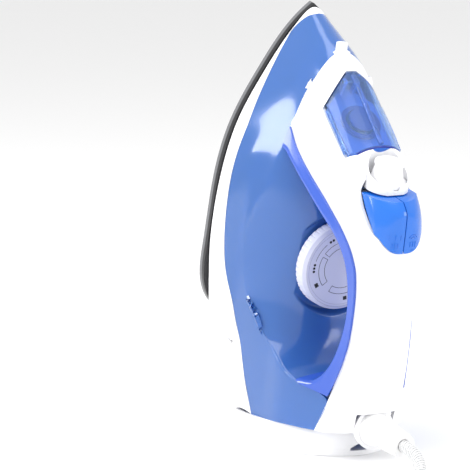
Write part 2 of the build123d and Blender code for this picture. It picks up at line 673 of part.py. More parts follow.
# ---- cord, coil and plug -----------------------------------------------------------------------------------------------
CORD_R = CORD_D / 2
guard_mouth = Vector(*BALL) + ball_plane.z_dir * GUARD_LENGTH
CORD_ROUTE = [(guard_mouth.X, 0, guard_mouth.Z), (105, -1, 15.0), (119, -5, 10.5), (131, -14, 5.0), (143, -28, 3.8),
              (160, -44, 3.8), (181, -53, 3.8)]
TAIL_ROUTE = [(228, -57.3, 3.8), (245, -55, 4.2), (261.5, -50, 7.5), (275, -41, 13.0), (284, -27.5, 18.6), (287, -13, 18.6)]


def laid(points, name):
    """Round cord along straight runs joined by tangent arcs, with its radii and volume printed."""
    corners = [Vector(*p) for p in points]
    radii = []
    for before, here, after in zip(corners, corners[1:], corners[2:]):
        half_turn = radians((here - before).get_angle(after - here)) / 2
        radii.append(0.45 * min((here - before).length, (after - here).length) / tan(half_turn))
    with BuildLine() as route:
        FilletPolyline(*corners, radius=radii)
    with BuildPart() as cord:
        with BuildSketch(Plane(origin=route.line @ 0, z_dir=route.line % 0)):
            Circle(CORD_R)
        sweep(path=route.line)
    length = sum(edge.length for edge in route.line.edges())
    print(name, "radii", [round(r) for r in radii], "length", round(length, 1),
          "volume ratio", round(cord.part.volume / (pi * CORD_R**2 * length), 4))
    write(cord, name)


laid(CORD_ROUTE, "cord")
laid(TAIL_ROUTE, "cord_tail")

with BuildPart() as cord_coil:
    with BuildSketch(Plane.XY.offset(0.05)):
        with Locations(COIL_CENTRE):
            Circle(COIL_MID_R + COIL_ACROSS / 2)
            Circle(COIL_MID_R - COIL_ACROSS / 2, mode=Mode.SUBTRACT)
    extrude(amount=COIL_HIGH)
    chamfer(cord_coil.faces().sort_by(Axis.Z)[-1].edges(), 3)
write(cord_coil, "cord_coil")

plug_axis = Vector(3, 14.5, 0).normalized()
plug_plane = Plane(origin=TAIL_ROUTE[-1], x_dir=(0, 0, 1), z_dir=plug_axis)
PLUG_LENGTH, PIN_PITCH = 48.0, 19.0
with BuildPart() as plug:
    turn(plug_plane, ((0, 0), (4.6, 0), (7.0, 16), (9.0, 20), (15.5, 25), (PLUG_R, 31), (PLUG_R, PLUG_LENGTH - 1),
                      (PLUG_R - 1, PLUG_LENGTH), (0, PLUG_LENGTH)))
    for v in (-PIN_PITCH / 2, PIN_PITCH / 2):
        rod(Plane(origin=plug_plane.origin + plug_axis * (PLUG_LENGTH - 8) + plug_plane.y_dir * v,
                  x_dir=(0, 0, 1), z_dir=plug_axis), 2.4, 10, Mode.SUBTRACT)
write(plug, "plug")

with BuildPart() as plug_pins:
    for v in (-PIN_PITCH / 2, PIN_PITCH / 2):
        rod(Plane(origin=plug_plane.origin + plug_axis * (PLUG_LENGTH - 8) + plug_plane.y_dir * v,
                  x_dir=(0, 0, 1), z_dir=plug_axis), 2.4, 27)
write(plug_pins, "plug_pins")
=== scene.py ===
"""Steam iron standing on its heel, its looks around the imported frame. Metres, +Z up."""
import json

import bmesh
import bpy
import numpy as np
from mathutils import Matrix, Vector


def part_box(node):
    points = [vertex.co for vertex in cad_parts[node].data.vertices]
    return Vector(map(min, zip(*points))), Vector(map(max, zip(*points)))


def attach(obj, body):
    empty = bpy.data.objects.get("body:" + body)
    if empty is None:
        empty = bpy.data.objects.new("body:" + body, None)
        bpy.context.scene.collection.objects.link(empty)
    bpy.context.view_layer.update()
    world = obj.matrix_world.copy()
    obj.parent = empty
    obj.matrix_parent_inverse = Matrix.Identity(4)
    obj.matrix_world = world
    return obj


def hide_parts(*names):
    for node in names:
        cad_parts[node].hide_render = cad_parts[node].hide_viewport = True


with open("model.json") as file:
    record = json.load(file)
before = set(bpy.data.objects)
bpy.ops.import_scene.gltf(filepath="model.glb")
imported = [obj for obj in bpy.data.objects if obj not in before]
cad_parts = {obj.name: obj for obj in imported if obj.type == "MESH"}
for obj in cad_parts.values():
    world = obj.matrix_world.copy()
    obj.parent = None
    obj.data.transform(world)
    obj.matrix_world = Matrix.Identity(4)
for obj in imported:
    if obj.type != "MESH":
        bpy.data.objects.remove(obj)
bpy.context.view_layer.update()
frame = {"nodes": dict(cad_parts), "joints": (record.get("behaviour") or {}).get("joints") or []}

# ---- camera ---------------------------------------------------------------------------------------
# A long lens on the handle side, a little above the floor, looking slightly down at the iron.
CAMERA_TURN, CAMERA_RISE, CAMERA_AWAY = np.radians(63.0), np.radians(9.0), 1.6
AIM = Vector((-0.0261, -0.0512, 0.1285))
back = Vector((np.sin(CAMERA_TURN) * np.cos(CAMERA_RISE), -np.cos(CAMERA_TURN) * np.cos(CAMERA_RISE),
               np.sin(CAMERA_RISE)))
camera = bpy.data.objects.new("camera", bpy.data.cameras.new("camera"))
bpy.context.scene.collection.objects.link(camera)
camera.data.sensor_width, camera.data.lens = 36.0, 200.9
camera.data.clip_start, camera.data.clip_end = 0.05, 50.0
camera.location = AIM + back * CAMERA_AWAY
camera.rotation_mode = "QUATERNION"
camera.rotation_quaternion = (-back).to_track_quat("-Z", "Y")
bpy.context.scene.camera = camera

# ---- mains cord -----------------------------------------------------------------------------------
# Three-core lead with a white and grey braided textile jacket, 7.5 mm thick and about 1.7 m long. It
# leaves the guard, drops to the floor and is wound up behind the heel, with its plug beyond the coil.
CORD_D = 0.0075
CORD_ROUTE = [(0.09136, 0, 0.01632), (0.105, -0.001, 0.015), (0.119, -0.005, 0.0105),
              (0.131, -0.014, 0.005),
              (0.143, -0.028, 0.0038), (0.160, -0.044, 0.0038), (0.181, -0.053, 0.0038)]
TAIL_ROUTE = [(0.228, -0.0565, 0.0113), (0.245, -0.055, 0.0105), (0.2615, -0.050, 0.0108),
              (0.275, -0.041, 0.0142), (0.284, -0.0275, 0.0186), (0.287, -0.013, 0.0186)]
COIL_CENTRE = (0.213, 0.0)
COIL_TURNS, COIL_POINTS, COIL_START = 2.7, 16, np.radians(252.0)
LAYER_STEP, LAST_TURN_SHORT = np.radians(24.0), np.radians(10.0)
COIL_INNER, COIL_OUTER, LAYER_LOW, LAYER_HIGH = 0.0318, 0.0528, 0.0038, 0.0113


def coil_points():
    """Two flat spirals one on the other: inwards on the floor, then outwards on top, a diameter apart."""
    count = int(COIL_TURNS * COIL_POINTS)
    share = np.arange(count + 1) / count
    down = 2 * np.pi * COIL_TURNS
    inwards = COIL_OUTER + (COIL_INNER - COIL_OUTER) * share
    turn_back = down - LAST_TURN_SHORT
    angle = np.concatenate([COIL_START + down * share, COIL_START + down + LAYER_STEP + turn_back * share])
    radius = np.concatenate([inwards, inwards[::-1]])
    height = np.concatenate([np.full(count + 1, LAYER_LOW), np.full(count + 1, LAYER_HIGH)])
    across, along = COIL_CENTRE[0] + radius * np.cos(angle), COIL_CENTRE[1] + radius * np.sin(angle)
    return np.stack([across, along, height], 1)


def smooth_route(points):
    """Reads the centreline of one NURBS spline of order 3 whose control points are the route."""
    data = bpy.data.curves.new("route", "CURVE")
    data.dimensions, data.resolution_u = "3D", 8
    spline = data.splines.new("NURBS")
    spline.points.add(len(points) - 1)
    spline.points.foreach_set("co", np.column_stack([points, np.ones(len(points))]).ravel())
    spline.order_u, spline.use_endpoint_u = 3, True
    route = bpy.data.objects.new("route", data)
    mesh = bpy.data.meshes.new_from_object(route)
    line = np.zeros(len(mesh.vertices) * 3)
    mesh.vertices.foreach_get("co", line)
    bpy.data.objects.remove(route)
    return line.reshape(-1, 3)


def grid_object(name, points, close_rows=False, close_columns=False, uv=None):
    """Mesh of a grid of points, rows x columns x 3, each four neighbours making one face."""
    rows, columns = points.shape[:2]
    index = np.arange(rows * columns).reshape(rows, columns)
    if close_rows:
        index = np.vstack([index, index[:1]])
    if close_columns:
        index = np.hstack([index, index[:, :1]])
    faces = np.stack([index[:-1, :-1], index[1:, :-1], index[1:, 1:], index[:-1, 1:]], -1).reshape(-1, 4)
    mesh = bpy.data.meshes.new(name)
    mesh.from_pydata(points.reshape(-1, 3).tolist(), [], faces.tolist())
    if uv is not None:
        layer = mesh.uv_layers.new(name="surface")
        layer.data.foreach_set("uv", uv.reshape(-1, 2)[faces.ravel()].ravel())
    mesh.shade_smooth()
    piece = bpy.data.objects.new(name, mesh)
    bpy.context.scene.collection.objects.link(piece)
    return piece


def tube_points(line, radius, around):
    """Rings of a round tube along a line that never stands upright, their (turn, length), and its length."""
    tangent = np.gradient(line, axis=0)
    tangent /= np.linalg.norm(tangent, axis=1)[:, None]
    up = np.array([0.0, 0.0, 1.0])
    side = np.cross(tangent, up)
    side /= np.linalg.norm(side, axis=1)[:, None]
    other = np.cross(side, tangent)
    angle = np.linspace(0, 2 * np.pi, around)
    rings = line[:, None] + radius * (side[:, None] * np.cos(angle)[None, :, None]
                                      + other[:, None] * np.sin(angle)[None, :, None])
    along = np.concatenate([[0], np.cumsum(np.linalg.norm(np.diff(line, axis=0), axis=1))])
    uv = np.stack(np.broadcast_arrays(angle[None, :] / (2 * np.pi), along[:, None] * 100), -1)
    return rings, uv, along[-1]


def close_ends(piece, merge=None, triangles=False):
    """Joins points within merge metres, fills the open ends and turns the faces outwards."""
    bm = bmesh.new()
    bm.from_mesh(piece.data)
    if merge:
        bmesh.ops.remove_doubles(bm, verts=bm.verts, dist=merge)
    bmesh.ops.holes_fill(bm, edges=[e for e in bm.edges if e.is_boundary])
    if triangles:
        bmesh.ops.triangulate(bm, faces=[f for f in bm.faces if len(f.verts) > 4])
    bmesh.ops.recalc_face_normals(bm, faces=bm.faces)
    bm.to_mesh(piece.data)
    bm.free()


def srgb(*values):
    """Linear colour of three 0 to 255 screen values."""
    v = np.array(values) / 255.0
    return (*np.where(v <= 0.04045, v / 12.92, ((v + 0.055) / 1.055) ** 2.4), 1.0)


def new_material(name):
    """Material with its Principled shader, a function that adds and links nodes, and one that links into the
    shader.
    """
    material = bpy.data.materials.new(name)
    material.use_nodes = True
    tree = material.node_tree
    shader = tree.nodes["Principled BSDF"]

    def node(kind, settings=(), **links):
        made = tree.nodes.new("ShaderNode" + kind)
        for key, value in dict(settings).items():
            setattr(made, key, value)
        for key, value in links.items():
            socket = made.inputs[int(key[1:])] if key[0] == "i" and key[1:].isdigit() else made.inputs[key]
            if isinstance(value, bpy.types.NodeSocket):
                tree.links.new(value, socket)
            else:
                socket.default_value = value
        return made

    def to(socket, value):
        tree.links.new(value, shader.inputs[socket])

    return material, shader, node, to


def braid():
    """Textile braid: two families of yarns crossing on the diagonal, white with grey tracers, matt."""
    material, shader, node, to = new_material("cord_braid")
    uv = node("UVMap", {"uv_map": "surface"}).outputs[0]
    parts = node("SeparateXYZ", i0=uv)
    turns = node("Math", {"operation": "MULTIPLY"}, i0=parts.outputs[0], i1=6.0).outputs[0]
    lays = node("Math", {"operation": "MULTIPLY"}, i0=parts.outputs[1], i1=4.2).outputs[0]
    waves = []
    for operation in ("ADD", "SUBTRACT"):
        phase = node("Math", {"operation": operation}, i0=turns, i1=lays).outputs[0]
        angle = node("Math", {"operation": "MULTIPLY"}, i0=phase, i1=2 * np.pi).outputs[0]
        waves.append(node("Math", {"operation": "SINE"}, i0=angle).outputs[0])
    yarn = node("Math", {"operation": "MAXIMUM"}, i0=waves[0], i1=waves[1]).outputs[0]
    fleck = node("TexNoise", Vector=node("TexCoord").outputs["Object"], Scale=900.0, Detail=3.0).outputs[0]
    tracer = node("Math", {"operation": "MULTIPLY"}, i0=waves[0], i1=fleck).outputs[0]
    ramp = node("ValToRGB", Fac=tracer)
    white, grey = ramp.color_ramp.elements
    white.color, white.position = srgb(236, 236, 236), 0.30
    grey.color, grey.position = srgb(150, 152, 156), 0.52
    to("Base Color", ramp.outputs[0])
    to("Normal", node("Bump", Height=yarn, Strength=0.7, Distance=0.0006).outputs[0])
    shader.inputs["Roughness"].default_value = 0.78
    shader.inputs["Sheen Weight"].default_value = 0.25
    return material


cord_line = smooth_route(np.vstack([CORD_ROUTE, coil_points(), TAIL_ROUTE]))
rings, cord_uv, cord_length = tube_points(cord_line, CORD_D / 2, 21)
cord = grid_object("mains_cord", rings, uv=cord_uv)
cord.data.materials.append(braid())
close_ends(cord, merge=1e-6)
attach(cord, "swivel")
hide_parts("cord", "cord_coil", "cord_tail")
print("cord length", round(float(cord_length), 3))

# ---- floor and studio light -----------------------------------------------------------------------
# Plain pale floor and large soft lamps, the key on the side of the ironing face.
FLOOR_HALF, FLOOR_DROP = 4.0, -0.0002
floor = grid_object("floor", np.array([[(x, y, FLOOR_DROP) for x in (-FLOOR_HALF, FLOOR_HALF)]
                                       for y in (-FLOOR_HALF, FLOOR_HALF)]))
floor_paint, shader, node, to = new_material("floor_paint")
shader.inputs["Base Color"].default_value = srgb(252, 252, 252)
shader.inputs["Roughness"].default_value = 0.9
floor.data.materials.append(floor_paint)
bpy.context.scene.view_settings.view_transform = "Standard"
world = bpy.data.worlds.new("studio")
bpy.context.scene.world = world
world.use_nodes = True
world.node_tree.nodes["Background"].inputs[0].default_value = (1.0, 1.0, 1.0, 1.0)
world.node_tree.nodes["Background"].inputs[1].default_value = 0.85
LAMP_AIM = 0.13


def softbox(name, place, size, power):
    """Rectangular lamp at a place, aimed at the middle of the iron."""
    lamp = bpy.data.objects.new(name, bpy.data.lights.new(name, "AREA"))
    lamp.data.shape, lamp.data.size, lamp.data.size_y, lamp.data.energy = "RECTANGLE", *size, power
    lamp.location = place
    lamp.rotation_mode = "QUATERNION"
    lamp.rotation_quaternion = (Vector(place) - Vector((0, 0, LAMP_AIM))).to_track_quat("Z", "Y")
    bpy.context.scene.collection.objects.link(lamp)


softbox("key_lamp", (-0.3, -1.5, 0.9), (0.5, 0.9), 14)
softbox("fill_lamp", (1.5, 0.5, 0.7), (0.7, 1.0), 9)
softbox("top_lamp", (0.2, -0.2, 1.6), (1.0, 1.0), 9)

# ---- outside of the mouldings ---------------------------------------------------------------------
# All casing mouldings share one outside. It is given lying down on the ironing face, in millimetres: l from
# heel to tip, w from the centre plane, h up. Each row runs from the nose ridge to the heel, at one height.
dial_joint = next(j for j in frame["joints"] if j["name"] == "dial_turn")
RISE = np.array(dial_joint["axis"])
ALONG = np.array([-RISE[2], 0.0, RISE[0]])
DIAL_L, DIAL_H = 130.0, 70.0
HEEL = np.array(dial_joint["pos_m"]) * 1000 - DIAL_L * ALONG - DIAL_H * RISE
ROWS = np.array([
    [(274, 0, 8), (262, 13, 8), (236, 29.5, 8), (203, 45.5, 8), (167, 53.5, 8), (125, 56, 8), (80, 52, 8),
     (45, 48, 8), (12, 46, 8)],
    [(266, 0, 27), (257.5, 13, 27), (238, 25, 27), (209, 37, 27), (179, 47, 27), (122, 51.6, 27),
     (80, 49, 27), (40, 46.4, 27), (12, 45, 27)],
    [(257.5, 0, 47), (252.5, 11, 47), (239, 20, 47), (214, 27.5, 47), (190, 36, 47), (160, 43.5, 47),
     (120, 46.5, 47), (80, 45.5, 47), (12, 43.5, 47)],
    [(243, 0, 68.5), (240, 10.5, 68.5), (228, 18.5, 68.5), (210, 23, 68.5), (189, 29, 68.5),
     (160, 36, 68.5), (120, 41, 68.5), (80, 42, 68.5), (12, 41.5, 68.5)],
    [(228, 0, 90), (225, 10, 90), (215, 18, 90), (201, 21, 90), (184, 23.5, 90), (160, 28, 90),
     (120, 35, 90), (80, 38.5, 90), (12, 39, 90)],
    [(207, 0, 118), (204.5, 8.5, 118), (198, 15.5, 118), (188, 18.6, 118), (170, 19.6, 118),
     (150, 20.2, 118), (120, 21.4, 118), (80, 25, 118), (12, 30, 115)],
    [(196, 0, 132), (194.5, 6, 132), (190, 12.4, 132), (180, 16.4, 132), (165, 17.5, 132),
     (145, 17.8, 132), (120, 18, 132), (80, 19, 131.5), (12, 21, 121)],
    [(188.5, 0, 140.6), (187.3, 3.4, 140.6), (184, 6.8, 140.6), (175, 9.5, 140.6), (160, 10.6, 140.6),
     (142, 11, 140.6), (120, 11, 140.2), (80, 11, 138.8), (12, 11, 126)],
    [(184, 0, 142.2), (183, 0, 142.2), (180, 0, 142.3), (172, 0, 142.4), (158, 0, 142.4), (141, 0, 142.2),
     (120, 0, 141.8), (80, 0, 140.2), (12, 0, 127.2)]])
RIDGE, HEEL_END = ROWS.shape[0] - 1.0, ROWS.shape[1] - 1.0
MIRROR = np.array([1.0, -1.0, 1.0])
net = np.concatenate([ROWS[:, 1:2] * MIRROR, ROWS, 2 * ROWS[:, -1:] - ROWS[:, -2:-1]], 1)
net = np.concatenate([2 * net[:1] - net[1:2], net, net[-2:-1] * MIRROR])


def knot_weights(x, last):
    """First of the four knots round x, and their Catmull-Rom weights."""
    first = np.clip(np.floor(x), 0, last - 1).astype(int)
    f = x - first
    return first, (0.5 * (-f + 2 * f**2 - f**3), 0.5 * (2 - 5 * f**2 + 3 * f**3),
                   0.5 * (f + 4 * f**2 - 3 * f**3), 0.5 * (f**3 - f**2))


def outside(u, v):
    """Point (l, w, h) at station u along row v: the bicubic through the rows, mirrored for u < 0."""
    i, along = knot_weights(np.abs(u), HEEL_END)
    j, upward = knot_weights(np.clip(v, 0, RIDGE), RIDGE)
    total = sum((upward[b] * along[a])[..., None] * net[j + b, i + a] for a in range(4) for b in range(4))
    return total * np.where(np.asarray(u)[..., None] < 0, MIRROR, 1.0)


GUESS_U, GUESS_V = np.meshgrid(np.linspace(0, HEEL_END, 321), np.linspace(0, RIDGE, 241))
GUESS = outside(GUESS_U, GUESS_V)[..., [0, 2]].reshape(-1, 2)


def station(points):
    """(u, v) on the outside of side-view points (l, h): nearest sample of a fine grid, then Newton steps."""
    target = np.asarray(points, float)
    nearest = np.array([np.argmin(((GUESS - p) ** 2).sum(1)) for p in target])
    uv = np.stack([GUESS_U.ravel()[nearest], GUESS_V.ravel()[nearest]], 1)
    step = 1e-3
    for _ in range(6):
        here = outside(uv[:, 0], uv[:, 1])[:, [0, 2]]
        du = (outside(uv[:, 0] + step, uv[:, 1])[:, [0, 2]] - here) / step
        dv = (outside(uv[:, 0], uv[:, 1] + step)[:, [0, 2]] - here) / step
        jacobian = np.stack([du, dv], -1)
        move = np.einsum("nij,nj->ni", np.linalg.pinv(jacobian, rcond=0.02), target - here)
        uv = np.clip(uv + np.clip(move, -0.1, 0.1), 0, [HEEL_END, RIDGE])
    return uv


def through(points, count, closed=False):
    """Smooth curve through points: count samples evenly spaced on the Catmull-Rom spline."""
    p = np.asarray(points, float)
    p = np.vstack([p[-1:], p, p[:2]]) if closed else np.vstack([2 * p[0] - p[1], p, 2 * p[-1] - p[-2]])
    last = len(p) - 3
    i, w = knot_weights(np.linspace(0, last, 60 * last + 1), last)
    line = sum(w[a][:, None] * p[i + a] for a in range(4))
    run = np.concatenate([[0], np.cumsum(np.linalg.norm(np.diff(line, axis=0), axis=1))])
    at = np.linspace(0, run[-1], count)
    return np.stack([np.interp(at, run, line[:, k]) for k in range(line.shape[1])], 1)


def stood(points):
    """Standing place in metres of lying points (l, w, h) in millimetres."""
    l, w, h = np.moveaxis(np.asarray(points, float), -1, 0)
    return (HEEL + l[..., None] * ALONG + h[..., None] * RISE + w[..., None] * np.array([0, -1.0, 0])) / 1000


def ribbon(low, high, rows, spread=None):
    """Points of the outside between two seams, each an array of (u, v), in so many rows from low to high."""
    share = np.linspace(0, 1, rows) if spread is None else spread
    uv = low[None] + (high - low)[None] * share[:, None, None]
    return outside(uv[..., 0], uv[..., 1])


def both_sides(patches):
    """The patches and their mirror images across the centre plane."""
    return list(patches) + [patch * MIRROR for patch in patches]


def moulding(name, patches, wall, stand=True):
    """Shell of patches whose edges meet: joined, turned outwards, then given its wall on the inside."""
    made = [grid_object(name + "_patch", stood(patch) if stand else patch) for patch in patches]
    bm = bmesh.new()
    for part in made:
        bm.from_mesh(part.data)
        bpy.data.objects.remove(part)
    bmesh.ops.remove_doubles(bm, verts=bm.verts, dist=2e-5)
    bmesh.ops.dissolve_degenerate(bm, edges=bm.edges, dist=1e-6)
    bmesh.ops.recalc_face_normals(bm, faces=bm.faces)
    mesh = bpy.data.meshes.new(name)
    bm.to_mesh(mesh)
    bm.free()
    piece = bpy.data.objects.new(name, mesh)
    bpy.context.scene.collection.objects.link(piece)
    centre = np.array([mesh.polygons[i].center[:] for i in range(len(mesh.polygons))])
    normal = np.array([mesh.polygons[i].normal[:] for i in range(len(mesh.polygons))])
    area = np.array([mesh.polygons[i].area for i in range(len(mesh.polygons))])
    if ((centre - centre.mean(0)) * normal).sum(1) @ area < 0:
        mesh.flip_normals()
    if wall:
        thick = piece.modifiers.new("wall", "SOLIDIFY")
        thick.thickness, thick.offset, thick.use_quality_normals = wall / 1000, -1.0, True
        apply_modifiers(piece)
    mesh = piece.data
    mesh.shade_smooth()
    return piece


def apply_modifiers(piece):
    """Makes the modifiers' result the piece's own mesh."""
    graph = bpy.context.evaluated_depsgraph_get()
    mesh = bpy.data.meshes.new_from_object(piece.evaluated_get(graph))
    piece.modifiers.clear()
    piece.data = mesh


def cut(piece, cutters, keep="DIFFERENCE"):
    """Takes the cutters' space out of a piece, or keeps only what is inside them."""
    for cutter in cutters:
        saw = piece.modifiers.new("saw", "BOOLEAN")
        saw.operation, saw.solver, saw.object = keep, "EXACT", cutter
        bpy.context.view_layer.update()
        apply_modifiers(piece)
    for cutter in cutters:
        bpy.data.objects.remove(cutter)


def soft_edges(piece, angle=35, bevel=0.0, segments=2):
    """Smooth shading with sharp edges past an angle, or with those edges rounded off."""
    piece.data.shade_smooth()
    if bevel:
        rounding = piece.modifiers.new("rounding", "BEVEL")
        rounding.width, rounding.segments, rounding.limit_method = bevel / 1000, segments, "ANGLE"
        rounding.angle_limit, rounding.use_clamp_overlap = np.radians(angle), True
        apply_modifiers(piece)
    piece.data.set_sharp_from_angle(angle=np.radians(angle))


def prism(outline, origin, x_dir, y_dir, low, high):
    """Closed block over an outline in a plane's own x and y, from low to high along the plane's normal."""
    outline = np.asarray(outline, float)
    x_dir, y_dir, origin = (np.asarray(d, float) for d in (x_dir, y_dir, origin))
    normal = np.cross(x_dir, y_dir)
    base = origin + outline[:, :1] * x_dir + outline[:, 1:] * y_dir
    walls = np.stack([base + normal * low, base + normal * high])
    block = grid_object("block", walls / 1000, close_columns=True)
    close_ends(block)
    return block


def side_prism(outline, half):
    """Block of a side-view outline (l, h), half to each side of the centre plane."""
    return prism(outline, HEEL, ALONG, RISE, -half, half)


def moulded(name, colour, roughness=0.28, grain=0.02, coat=0.0, vary=0.03):
    """Injection-moulded plastic: faint colour drift, a fine orange-peel bump and patchy gloss."""
    material, shader, node, to = new_material(name)
    place = node("TexCoord").outputs["Object"]
    drift = node("TexNoise", Vector=place, Scale=14.0, Detail=2.0).outputs[0]
    pale = tuple(min(1.0, c * (1 + vary)) for c in colour[:3]) + (1.0,)
    deep = tuple(c * (1 - vary) for c in colour[:3]) + (1.0,)
    ramp = node("ValToRGB", Fac=drift)
    ramp.color_ramp.elements[0].color, ramp.color_ramp.elements[1].color = deep, pale
    to("Base Color", ramp.outputs[0])
    peel = node("TexNoise", Vector=place, Scale=700.0, Detail=3.0).outputs[0]
    to("Normal", node("Bump", Height=peel, Strength=grain * 10, Distance=0.00004).outputs[0])
    patch = node("TexNoise", Vector=place, Scale=60.0, Detail=4.0).outputs[0]
    gloss = node("MapRange", Value=patch)
    gloss.inputs["To Min"].default_value = roughness * 0.85
    gloss.inputs["To Max"].default_value = roughness * 1.15
    to("Roughness", gloss.outputs[0])
    shader.inputs["Coat Weight"].default_value = coat
    shader.inputs["Coat Roughness"].default_value = 0.06
    return material


# ---- skirt ----------------------------------------------------------------------------------------
# White satin moulding that carries the soleplate. It runs round the nose and turns down behind the sole to
# the heel, where screws hold the foot. Its upper seam rises towards the heel.
FOOT_SEAM = 17.0


def heel_end(h):
    """Side-view point at height h where the casing stands on the foot."""
    return ((FOOT_SEAM - HEEL[2] - h * RISE[2]) / ALONG[2], h)


WHITE = moulded("casing_white", srgb(244, 244, 246), 0.34, 0.03)
SKIRT_SEAM = [(271.2, 14), (262, 8.9), (254, 10), (241, 12), (223, 14.5), (205, 16.5), (186, 17),
              (166, 17.5), (147, 19), (131, 21),
              (118, 23.5), (101, 29), (74, 40), (52, 48), heel_end(59)]
SKIRT_LOW = [(274, 8.3), (262, 8.3), (250, 8.3), (236, 8.3), (218, 8.3), (200, 8.3), (180, 8.3),
             (160, 8.3), (143, 8.3),
             (125, 8.3), (105, 8.3), (84, 8.4), (69, 32.5), (45, 37.4), heel_end(40.5)]


def paired(low, high, count, high_is_station=False):
    """Two seams of equally many side-view points, sampled together so that samples stay opposite."""
    ends = [station(low), np.asarray(high, float) if high_is_station else station(high)]
    both = through(np.hstack(ends), count)
    return both[:, :2], both[:, 2:]


skirt_low, skirt_high = paired(SKIRT_LOW, SKIRT_SEAM, 260)
skirt_low[0, 0] = skirt_high[0, 0] = 0.0
skirt_side = ribbon(skirt_low, skirt_high, 14)
TURN_DOWN = 84.5
under = skirt_side[0][skirt_side[0][:, 0] < TURN_DOWN]
skirt_back = under[None] * (1 - np.array([0, 1, 0]) * np.linspace(0, 2, 9)[:, None, None])
skirt = moulding("skirt_shell", both_sides([skirt_side]) + [skirt_back], 2.2)
soft_edges(skirt, 40)
skirt.data.materials.append(WHITE)
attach(skirt, "iron")
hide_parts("skirt")

# ---- water tank -----------------------------------------------------------------------------------
# Translucent blue shell, blown thin and welded to its floor. Its side rolls over a crest into the dished top
# under the handle, where a round pocket holds the temperature dial.
CREST = [(200, 47), (190, 46.5), (174, 44), (153, 39.5), (133, 38), (113, 42), (99, 50), (88, 61),
         (79, 75), (71.5, 87), (67.5, 98)]
CROWN = [(187, 65), (182, 66), (170, 69), (154, 71.5), (137, 71.5), (120, 70.5), (106, 71.5), (93, 74.5),
         (82, 79.5), (73.5, 88), (71, 98)]
TANK_LOW_NOSE = [(271.2, 14.2), (262, 9.3), (241, 12.3), (223, 14.8), (212, 16), (205, 16.8)]
TANK_HIGH_NOSE = [(257.5, 47.4), (245, 50), (231, 47.5), (219, 46.5), (211, 46.5), (200, 47)]
TANK_LOW = [(205, 16.8), (192, 17.2), (174, 17.7), (153, 18.8), (133, 21), (113, 25.2), (99, 30), (86, 35),
            (75, 39.8), (63, 44.6), (52, 48.3)]
TANK_LOW_HEEL = [(52, 48.3), (45, 51.8), (38, 55.3), heel_end(59.3)]
TANK_HIGH_HEEL = [(67.5, 98), (66.3, 110), (61, 119), heel_end(113.8)]
DIAL_R, POCKET_R, POCKET_H = 28.0, 31.5, 66.0


def dished(edge, middle, power, rows):
    """Surface from a crest on the near side to the middle line, rising as 1 - q**power across."""
    q = np.linspace(1, 0, rows)[:, None]
    rise = 1 - q**power
    along = edge[None, :, 0] + (middle[None, :, 0] - edge[None, :, 0]) * rise
    upward = edge[None, :, 2] + (middle[None, :, 1] - edge[None, :, 2]) * rise
    return np.stack([along, edge[None, :, 1] * q, upward], -1)


def rolled(points, crest_row, reach, passes, fade):
    """Rounds a crest: neighbouring rows averaged near it, less towards the end columns."""
    rows, columns = points.shape[:2]
    near = np.clip(1 - np.abs(np.arange(rows) - crest_row) / reach, 0, 1)
    ends = np.clip(np.minimum(np.arange(columns), np.arange(columns)[::-1]) / fade, 0, 1)
    share = (near[:, None] * ends[None, :])[1:-1, :, None]
    for _ in range(passes):
        mean = 0.25 * points[:-2] + 0.5 * points[1:-1] + 0.25 * points[2:]
        points[1:-1] += share * (mean - points[1:-1])
    return points


def pocketed(points):
    """Sinks what lies round the dial to the pocket's floor, with a soft rim."""
    from_axis = np.hypot(points[..., 0] - DIAL_L, points[..., 1])
    share = np.clip((POCKET_R + 1.5 - from_axis) / 2.5, 0, 1)
    share = share * share * (3 - 2 * share)
    points[..., 2] -= share * np.clip(points[..., 2] - POCKET_H, 0, None)
    return points


low, high = paired(TANK_LOW, CREST, 230)
middle = through(CROWN, 230)
tank_side = ribbon(low, high, 34)
tank_top = dished(tank_side[-1], middle, 2.7, 90)
tank_near = rolled(np.concatenate([tank_side, tank_top[1:]]), 33, 6, 14, 12)
tank_near = pocketed(tank_near)
nose_low, nose_high = paired(TANK_LOW_NOSE, TANK_HIGH_NOSE, 70)
nose_low[0, 0] = nose_high[0, 0] = 0.0
heel_low, heel_high = paired(TANK_LOW_HEEL, TANK_HIGH_HEEL, 24)
tank_nose, tank_heel = ribbon(nose_low, nose_high, 34), ribbon(heel_low, heel_high, 34)
tank = moulding("tank", both_sides([tank_nose, tank_near, tank_heel]), 1.8)
soft_edges(tank, 50)


def tank_plastic(name, colour, through_share, roughness):
    """Clear tinted plastic: light passes and picks up the tint, with a glossy skin and slight flow marks."""
    material, shader, node, to = new_material(name)
    place = node("TexCoord").outputs["Object"]
    flow = node("TexNoise", Vector=place, Scale=9.0, Detail=2.0).outputs[0]
    ramp = node("ValToRGB", Fac=flow)
    ramp.color_ramp.elements[0].color = tuple(c * 0.93 for c in colour[:3]) + (1.0,)
    ramp.color_ramp.elements[1].color = tuple(min(1.0, c * 1.07) for c in colour[:3]) + (1.0,)
    to("Base Color", ramp.outputs[0])
    ripple = node("TexNoise", Vector=place, Scale=35.0, Detail=1.0).outputs[0]
    to("Normal", node("Bump", Height=ripple, Strength=0.12, Distance=0.0006).outputs[0])
    shader.inputs["Roughness"].default_value = roughness
    shader.inputs["Transmission Weight"].default_value = through_share
    shader.inputs["IOR"].default_value = 1.49
    shader.inputs["Coat Weight"].default_value = 0.4
    shader.inputs["Coat Roughness"].default_value = 0.04
    return material


TANK_BLUE = tank_plastic("tank_blue", srgb(82, 138, 222), 0.5, 0.14)
tank.data.materials.append(TANK_BLUE)
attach(tank, "iron")
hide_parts("tank_shell")

